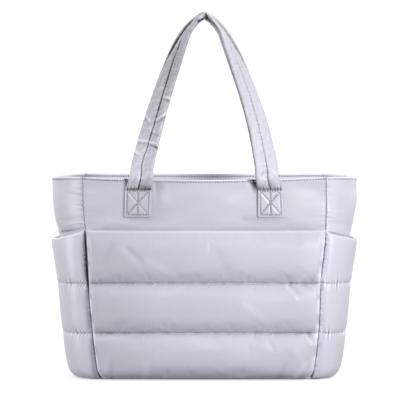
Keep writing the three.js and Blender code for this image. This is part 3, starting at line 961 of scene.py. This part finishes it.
def patch_relief(share, drop):
    """Quilted relief of a patch, sunk along its stitches and slightly full between them, and the
    distance to them."""
    half = PATCH_FOOT_WIDTH / 2
    lines = [(x0 * half, z0, x1 * half, z1) for (x0, z0), (x1, z1) in patch_lines()]
    nearest = np.min([beside(share * half, drop, *line)[1] for line in lines], axis=0)
    return 0.0005 - 0.0009 * near_line(nearest, 0.0011), nearest


# Folds of the front handle
HANDLE_FOLDS = [
    (-92.5, 335.5, -79, 334.6, 1.6, 1.6),
    (-92.5, 331.8, -80, 331, 1.6, -1.2),
    (-76.7, 333, -65, 330.2, 1.5, 1.3),
    (-64.5, 325, -76.7, 329.7, 1.4, -2.2),
    (-99, 321.2, -90.4, 317.2, 1.6, 1.5),
    (-100, 317.5, -93, 314.2, 1.4, -0.9),
    (-84, 322.5, -81.5, 316.5, 1.2, 1),
    (-54, 373.5, -67, 364.5, 1.5, 1.4),
    (-53, 370, -65, 361.2, 1.4, -1.5),
    (-84, 371.5, -76, 362, 1.5, 1.3),
    (-85, 368, -77.5, 358.8, 1.3, -1.1),
    (-47, 394, -57, 397.5, 1.5, 1.4),
    (-48, 390.5, -57, 393.5, 1.4, -1),
    (-74.7, 353, -69, 347, 1.4, 1.1),
    (-66, 343, -73, 345, 1.3, -1),
    (-61, 410, -56, 405, 1.6, 0.9),
    (100, 290, 93, 296, 1.6, 0.7),
    (80, 288, 84, 295, 1.6, -0.8),
]


def handle_shade(side, height, share, width, along, left, from_patch, patch):
    """Painted light and shade of a handle's cloth: painted shade of its patches, of its sewn line,
    of its folds beside the other handle and of its edges above them, and painted light and shade up
    and down its arms."""
    high = ramp(height, 0.36, 0.1) * left
    near_top = ramp(height, 0.455, 0.04)
    seam = near_line(np.abs(width), 0.0009 + 0.0008 * high) * (from_patch > 0)
    beside_seam = near_line(width - 0.0021, 0.0007) * (from_patch > 0.002) * (from_patch < 0.026)
    inner_half = np.clip(-3 * share, 0, 1)
    # Painted shade along the seam, at the patch tops, on the right arm's inner edge, up the left
    # arm and on its inner half; painted highlights beside the left seam, on the right arm, near the
    # top and low on the left arm; waves is a random tone
    shade = (
        np.where(left, 2.4 + 1.2 * high, 1.5) * seam
        - 1.3 * beside_seam * left
        + np.where(left, 1.1, 0.7) * near_line(from_patch, 0.0095)
        + (1.6 * near_line(1 + share, 0.07) - 0.12) * ~left
        + 0.45 * ramp(height, 0.33, 0.1) * left
        - 0.35 * ramp(height, 0.45, 0.04)
        + (0.3 + 0.5 * near_line(from_patch, 0.012)) * inner_half * left
        + np.where(left, 0.16, 0.08) * waves(97, 0.0035, 0.012)(width, along[:, None])
        - 0.3 * ramp(-height, -0.35, 0.06) * left
    )
    # Painted shade of the front handle's fold under its top, and of the back handle's edge where it
    # lies behind the front one
    if side == FRONT:
        fold = near_line(np.maximum(width, -5 * width), 0.0008 + 0.0026 * near_top)
        shade = shade + 2.8 * fold * near_top * left
    else:
        covered = near_line(1 - share, 0.09) * ramp(height, 0.43, 0.03)
        shade = shade + (1.4 + 0.8 * left) * covered
    return np.where(from_patch < 0, patch, shade) + near_line(from_patch, 0.0016)


def handle(side):
    line, walked = handle_line(side)
    foot, length = walked[PATCH_ROWS], walked[-1]
    ends = graded(0, foot, 0.0011, 0.0004)
    middle = graded(foot, length - foot, 0.0013, 0.0006)[1:-1]
    along = np.concatenate([ends, middle, length - ends[::-1]])
    rows = line(along)
    centre, twist = rows[:, :3], np.radians(rows[:, 3:4])
    from_end = np.minimum(along, length - along)
    from_patch = from_end - foot
    sewn = eased(np.clip(1 - from_patch / FLATTENING, 0, 1))
    tangent = np.gradient(centre, axis=0)
    tangent /= np.linalg.norm(tangent, axis=1, keepdims=True)
    out = np.cross(tangent, (0.0, 1.0, 0.0))
    level = np.clip(1 - from_patch / LEVELLING, 0, 1)[:, None]
    out += (np.sign(out[:, :1]) * (1, 0, 0) - out) * eased(level)
    out /= np.linalg.norm(out, axis=1, keepdims=True)
    face = np.cross(out, tangent) * side
    across = np.cos(twist) * out - np.sin(twist) * face
    normal = np.cos(twist) * face + np.sin(twist) * out
    lobes = [graded(low, low + 1, 0.075, 0.012, 0.6) for low in (-1, 0)]
    share = np.concatenate([lobes[0], lobes[1][1:]])[None, :]
    down_patch = np.clip(-from_patch / PATCH_HEIGHT, 0, 1)
    left = along < length / 2
    patch_head = np.where(left, LEFT_PATCH_WIDTH, PATCH_HEAD_WIDTH)
    patch_foot = np.where(left, LEFT_PATCH_WIDTH, PATCH_FOOT_WIDTH)
    patch_width = patch_head + (patch_foot - patch_head) * down_patch
    half_width = (SOFT_WIDTH + (patch_width - SOFT_WIDTH) * sewn) / 2
    end = rounded(from_end, PATCH_THICKNESS / 2)[:, None]
    half = band_profile(share, sewn[:, None]) * end
    rise = (centre[:, 2] - RIM_HEIGHT) / HANDLE_RISE
    left_stray, right_stray, seam_stray = np.moveaxis(table_curve(ARM_STRAY)(rise), -1, 0)
    place = share - ((1 - share**2) * (seam_stray * left * (side == FRONT))[:, None])
    spine = centre[:, None, :] + across[:, None, :] * (place * half_width[:, None])[..., None]
    spine = spine + out[:, None, :] * np.where(left, left_stray, right_stray)[:, None, None]
    spine[..., 0] += (np.where(left, -1, 1) * PATCH_LEAN * down_patch)[:, None]

    relief, stitched = patch_relief(share, -from_patch[:, None])
    columns = (row[:, None] for row in (sewn, from_patch, from_end, left))
    sewn, from_patch, from_end, left = columns
    relief = relief * (from_patch < 0) * end
    width = share * half_width[:, None]

    def skin(way):
        outside = relief if way > 0 else 0
        grid = spine + normal[:, None, :] * (way * half + outside)[..., None]
        seat = face_depth(grid[..., 0], np.minimum(grid[..., 2], RIM_HEIGHT))
        seat = side * (seat + GAP + PATCH_THICKNESS / 2 + way * half + outside)
        grid[..., 1] += (seat - grid[..., 1]) * sewn
        if way < 0:
            grid[..., 2] -= 0.002 * near_line(grid[..., 0], 0.011) * (rise[:, None] > 0.8)
        return grid

    outer, inner = skin(1), skin(-1)
    seam_close = np.abs(width)
    fixed = (seam_close < 0.0002) | (half < 0.0004) | (from_patch < 0.002)
    outer = swollen(outer, inner, fixed, 0, surplus=0.006, cap=0.0012, bending=0.3)
    pleats = ripples(81 + side, 0.003, 0.006)(width) * near_line(from_patch, 0.006)
    gathers = seam_puckers(along[:, None] + 0 * share, seam_close, 91 + side, 0.0003)
    marks = MM * folds(outer, HANDLE_FOLDS) if side == FRONT else 0
    creases = 0.0008 * pleats * (from_patch > 0) + gathers * (1 - sewn) + marks
    loose = creases * np.minimum(half / 0.002, 1)
    outer = outer + normal[:, None, :] * loose[..., None]

    # Painted shade round each patch's edge, a painted highlight just inside it, and painted shade
    # along its stitches
    border = np.minimum((1 - np.abs(share)) * half_width[:, None], from_end)
    patch = 1.2 * near_line(border, 0.0005) - 0.5 * near_line(border - 0.0015, 0.0007)
    patch = patch + 0.3 * near_line(stitched, 0.0006)
    height = outer[..., 2]
    shade = handle_shade(side, height, share, width, along, left, from_patch, patch)
    # Painted light on the ridges of the creases and painted shade in their valleys
    shade = shade - HANDLE_RELIEF_SHADE * creases * (from_patch >= 0)
    if side == BACK:
        return closed_cloth("back_handle_cloth", outer, inner, shade)
    outer, inner, shade = outer[:, ::-1], inner[:, ::-1], shade[:, ::-1]
    # The painted shade and highlights of HANDLE_SHADE, on the parts of both skins that face the
    # front
    shades = [
        shade + folds(grid, HANDLE_SHADE) * np.clip(1.6 * facing, 0, 1)
        for grid, facing in ((outer, -outward(outer)[..., 1]), (inner, outward(inner)[..., 1]))
    ]
    return closed_cloth("front_handle_cloth", outer, inner, *shades)


# Stitches


# along a thread | its thickness | its lift, as shares of its length and thickness
THREAD_STATIONS = [
    (-0.5, 0.3, -0.9),
    (-0.36, 0.9, 0),
    (0, 1, 0.25),
    (0.36, 0.9, 0),
    (0.5, 0.3, -0.9),
]
THREAD_SIDES = 6


def stitches(name, lines, pitch, length, thickness, hole):
    """Threads laid along lines, each line as points and normals, with a flat disc of painted shade
    for a needle hole between two threads, joined in one piece. hole is its length and width, as
    shares."""
    turn = np.linspace(0, 2 * math.pi, THREAD_SIDES, endpoint=False)
    ring = np.stack([np.cos(turn), np.sin(turn)], axis=1)
    points, faces, dark = [], [], []
    for path, normals in lines:
        walked = np.concatenate([[0], np.cumsum(np.linalg.norm(np.diff(path, axis=0), axis=1))])
        count = max(int(walked[-1] / pitch), 1)

        def at(where, what):
            return np.array([np.interp(where, walked, what[:, axis]) for axis in range(3)])

        for middle in (np.arange(count) + 0.5) * walked[-1] / count:
            centre, up = at(middle, path), at(middle, normals)
            way = at(middle + 0.001, path) - at(middle - 0.001, path)
            way /= np.linalg.norm(way)
            side = np.cross(up, way)
            side /= np.linalg.norm(side)
            up = np.cross(way, side)
            first = len(points)
            for step, wide, lift in THREAD_STATIONS:
                core = centre + way * (step * length) + up * (lift * thickness / 2)
                points += [core + (side * a + up * b) * wide * thickness / 2 for a, b in ring]
            rows = np.arange(first, len(points)).reshape(-1, THREAD_SIDES)
            faces += quads(np.concatenate([rows, rows[:, :1]], axis=1)).tolist()
            faces += [rows[0, ::-1].tolist(), rows[-1].tolist()]
            core = centre + way * (pitch / 2) + up * HOLE_LIFT
            long, wide = way * (HOLE_RADIUS * hole[0]), side * (HOLE_RADIUS * hole[1])
            points += [core + long * a + wide * b for a, b in ring]
            faces.append(list(range(len(points) - THREAD_SIDES, len(points))))
            # The threads take no painted shade; the needle holes take painted shade
            dark += [0.0] * rows.size + [HOLE_SHADE] * THREAD_SIDES
    piece = new_piece(name, points, faces)
    add_shade(piece.data, dark)
    return piece


def rim_stitch_lines():
    """The stitches under the rim: a line round the outside and one round the facing."""
    height = np.full((1, 1), RIM_HEIGHT - STITCH_DROP)
    loop = plan_loop(np.concatenate([height, height + 0.001]), 0.003)
    normal = outward(loop, True)[0]
    inside = WALL + GAP + FACING_THICKNESS
    return [(loop[0] + normal * 0.0001, normal), (loop[0] - normal * inside, -normal)]


PATCH_SLANT = [4]
PATCH_ROWS_SEWN = [0, 1, 2, 3, 5, 6]


def patch_stitch_lines(side, which):
    """Some of the lines of patch_lines() on both patches of a handle."""
    lines = []
    splay = HANDLE_STATIONS[0][3] * BACK_SPLAY if side == BACK else 0
    for end in (-1, 1):
        widths = (LEFT_PATCH_WIDTH,) * 2 if end < 0 else (PATCH_HEAD_WIDTH, PATCH_FOOT_WIDTH)
        for number in which:
            (s0, d0), (s1, d1) = patch_lines()[number]
            share, drop = np.linspace(s0, s1, 12), np.linspace(d0, d1, 12)
            down = drop / PATCH_HEIGHT
            half_width = (widths[0] + (widths[1] - widths[0]) * down) / 2
            stray = table_curve(ARM_STRAY)(-drop / HANDLE_RISE)[:, 0 if end < 0 else 1]
            middle = HANDLE_SPREAD / 2 + splay + stray + PATCH_LEAN * down
            x = end * middle + share * half_width
            z = RIM_HEIGHT - PATCH_DROP - drop
            y = side * (face_depth(x, z) + GAP + PATCH_THICKNESS - 0.0001)
            lines.append((np.stack([x, y, z], axis=1), np.tile((0.0, side, 0.0), (12, 1))))
    return lines


# Materials


def node(tree, kind, **values):
    made = tree.nodes.new(kind)
    for key, value in values.items():
        if key in made.inputs:
            made.inputs[key].default_value = value
        else:
            setattr(made, key, value)
    return made


def map_range(tree, source, low, high, to_low, to_high):
    made = node(tree, "ShaderNodeMapRange")
    sockets = {"From Min": low, "From Max": high, "To Min": to_low, "To Max": to_high}
    for socket, value in sockets.items():
        made.inputs[socket].default_value = value
    tree.links.new(source, made.inputs["Value"])
    return made.outputs["Result"]


def nylon(name, light, shade, roughness):
    """Satin nylon: fine plain weave, a soft crinkle, slight changes of tone, and painted light and
    shade from the sewn attribute.
    """
    material = bpy.data.materials.new(name)
    material.use_nodes = True
    tree = material.node_tree
    link = tree.links.new
    shader = tree.nodes["Principled BSDF"]
    place = node(tree, "ShaderNodeTexCoord").outputs["UV"]

    tone = node(tree, "ShaderNodeTexNoise", Scale=11.0, Detail=3.0, Roughness=0.55)
    link(place, tone.inputs["Vector"])
    mix = node(tree, "ShaderNodeMix", data_type="RGBA")
    mix.inputs["A"].default_value = (*light, 1)
    mix.inputs["B"].default_value = (*shade, 1)
    link(map_range(tree, tone.outputs["Fac"], 0.35, 0.65, 0.0, 1.0), mix.inputs["Factor"])

    # Painted shade and painted light from the sewn attribute, multiplied into the colour
    sewn = node(tree, "ShaderNodeAttribute", attribute_name="sewn")
    darker = node(tree, "ShaderNodeMix", data_type="RGBA", blend_type="MULTIPLY")
    darker.inputs["Factor"].default_value = 1.0
    link(mix.outputs["Result"], darker.inputs["A"])
    link(map_range(tree, sewn.outputs["Fac"], -2.0, 2.4, 1.8, 0.04), darker.inputs["B"])
    link(darker.outputs["Result"], shader.inputs["Base Color"])

    gloss = node(tree, "ShaderNodeTexNoise", Scale=55.0, Detail=4.0)
    link(place, gloss.inputs["Vector"])
    rough = map_range(tree, gloss.outputs["Fac"], 0.0, 1.0, roughness - 0.06, roughness + 0.08)
    link(rough, shader.inputs["Roughness"])
    shader.inputs["Sheen Weight"].default_value = 0.5
    shader.inputs["Sheen Roughness"].default_value = 0.3

    weave = node(tree, "ShaderNodeMath", operation="MULTIPLY")
    for number, direction in enumerate("XY"):
        band = node(tree, "ShaderNodeTexWave", bands_direction=direction, Scale=560.0)
        link(place, band.inputs["Vector"])
        link(band.outputs["Fac"], weave.inputs[number])
    threads = node(tree, "ShaderNodeBump", Strength=0.2, Distance=0.00005)
    link(weave.outputs["Value"], threads.inputs["Height"])
    crinkle = node(tree, "ShaderNodeTexNoise", Scale=70.0, Detail=4.0, Roughness=0.6)
    link(place, crinkle.inputs["Vector"])
    creases = node(tree, "ShaderNodeBump", Strength=0.3, Distance=0.0006)
    link(crinkle.outputs["Fac"], creases.inputs["Height"])
    link(threads.outputs["Normal"], creases.inputs["Normal"])
    link(creases.outputs["Normal"], shader.inputs["Normal"])
    return material


def dress(piece, material, slot, *nodes):
    piece.data.materials.append(material)
    if nodes:
        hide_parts(*nodes)
    return piece


# The camera, as the photograph was taken: far away, a little above the rim

camera_data = bpy.data.cameras.new("camera")
camera_data.lens = 304.96
camera_data.sensor_width = 36
camera_data.clip_end = 60
camera = bpy.data.objects.new("camera", camera_data)
camera.location = (0.00525, MIDDLE_Y - 5.0, 0.472)
camera.rotation_euler = (math.radians(90 - 2.681), 0, 0)
bpy.context.scene.collection.objects.link(camera)
bpy.context.scene.camera = camera

# The pieces

shell = nylon("shell_nylon", (0.53, 0.515, 0.59), (0.50, 0.50, 0.57), 0.42)
quilt = nylon("quilted_nylon", (0.505, 0.49, 0.565), (0.475, 0.48, 0.545), 0.4)
strap = nylon("handle_nylon", (0.50, 0.485, 0.55), (0.475, 0.47, 0.535), 0.42)
lining = nylon("facing_nylon", (0.60, 0.585, 0.66), (0.57, 0.56, 0.64), 0.5)
# The thread is lighter than the cloth: partly its own colour, partly a painted highlight of the
# raised stitches
thread = nylon("thread", (0.86, 0.85, 0.9), (0.82, 0.81, 0.87), 0.5)

wall_foot = BASE_THICKNESS + GAP
dress(
    body_face(
        "front_panel_cloth",
        FRONT,
        wall_foot,
        FRONT_RIM_DIP,
        3,
        PANEL_HOLLOW,
        PANEL_FOLDS,
        PANEL_SHADE,
    ),
    shell,
    "shell_nylon",
    "front_panel",
)
dress(
    body_face("back_panel_cloth", BACK, POCKET_HEIGHT + GAP, BACK_RIM_DIP, 7),
    shell,
    "shell_nylon",
    "back_panel",
)
dress(gusset(True), shell, "shell_nylon", "left_gusset")
dress(gusset(False), shell, "shell_nylon", "right_gusset")
dress(rim_facing(), lining, "facing_nylon", "rim_facing")
dress(base(), shell, "shell_nylon", "base_panel")
rim_rows = stitches("rim_stitches", rim_stitch_lines(), 0.0038, 0.0019, 0.0014, (0.9, 1.2))
dress(rim_rows, thread, "facing_nylon")
for side, name in ((FRONT, "front_patch"), (BACK, "back_patch")):
    rows = patch_stitch_lines(side, PATCH_ROWS_SEWN)
    rows = stitches(name + "_stitches", rows, 0.0032, 0.0017, 0.0011, (1.0, 1.25))
    slant = patch_stitch_lines(side, PATCH_SLANT)
    slant = stitches(name + "_slant", slant, 0.0032, 0.001, 0.0007, (1.5, 0.55))
    for piece in (rows, slant):
        dress(piece, thread, "handle_nylon")
quilted_pieces = [
    dress(front_pocket(), quilt, "quilted_nylon", "front_pocket"),
    dress(quilted_back(), quilt, "quilted_nylon", "back_quilted_panel"),
    dress(side_pocket(True), quilt, "quilted_nylon", "left_side_pocket"),
    dress(side_pocket(False), quilt, "quilted_nylon", "right_side_pocket"),
]
for side, name in ((FRONT, "front_handle"), (BACK, "back_handle")):
    dress(handle(side), strap, "handle_nylon", name)

# Floor, sky and lights

floor_mesh = bpy.data.meshes.new("floor")
floor_mesh.from_pydata([(-40, -40, 0), (40, -40, 0), (40, 40, 0), (-40, 40, 0)], [], [(0, 1, 2, 3)])
floor = bpy.data.objects.new("floor", floor_mesh)
floor.location.z = -0.0004
bpy.context.scene.collection.objects.link(floor)
paper = bpy.data.materials.new("paper")
paper.use_nodes = True
paper_shader = paper.node_tree.nodes["Principled BSDF"]
paper_shader.inputs["Base Color"].default_value = (0.6, 0.6, 0.6, 1)
paper_shader.inputs["Roughness"].default_value = 0.9
paper_shader.inputs["Specular IOR Level"].default_value = 0.1
paper_shader.inputs["Emission Color"].default_value = (1, 1, 1, 1)
paper_shader.inputs["Emission Strength"].default_value = 0.55
floor_mesh.materials.append(paper)
floor.visible_diffuse = floor.visible_glossy = False

# A white studio, brightest up on the right behind the bag and dim under the floor

world = bpy.data.worlds.new("studio")
world.use_nodes = True
studio = world.node_tree
way = node(studio, "ShaderNodeTexCoord").outputs["Generated"]
facing = node(studio, "ShaderNodeVectorMath", operation="DOT_PRODUCT")
studio.links.new(way, facing.inputs[0])
facing.inputs[1].default_value = SKY_LIGHT
sky = map_range(studio, facing.outputs["Value"], -0.7, 0.55, 0.62, 1.02)
parts = node(studio, "ShaderNodeSeparateXYZ")
studio.links.new(way, parts.inputs["Vector"])
below = map_range(studio, parts.outputs["Z"], -0.15, -0.03, 0.35, 1.0)
strength = node(studio, "ShaderNodeMath", operation="MULTIPLY")
studio.links.new(sky, strength.inputs[0])
studio.links.new(below, strength.inputs[1])
studio.links.new(strength.outputs["Value"], studio.nodes["Background"].inputs["Strength"])
studio.nodes["Background"].inputs["Color"].default_value = (1, 1, 1, 1)
bpy.context.scene.world = world
bpy.context.scene.view_settings.view_transform = "Standard"


def area_light(name, place, target, size, power):
    light = bpy.data.lights.new(name, "AREA")
    light.shape = "DISK"
    light.size = size
    light.energy = power
    lamp = bpy.data.objects.new(name, light)
    lamp.location = place
    lamp.rotation_euler = (Vector(target) - Vector(place)).to_track_quat("-Z", "Y").to_euler()
    bpy.context.scene.collection.objects.link(lamp)


area_light("key", (0.55, -0.85, 0.4), (0.03, 0, 0.17), 0.35, 7.4)
area_light("fill", (-2.8, -0.45, 0.35), (-0.1, 0, 0.12), 1.2, 48)
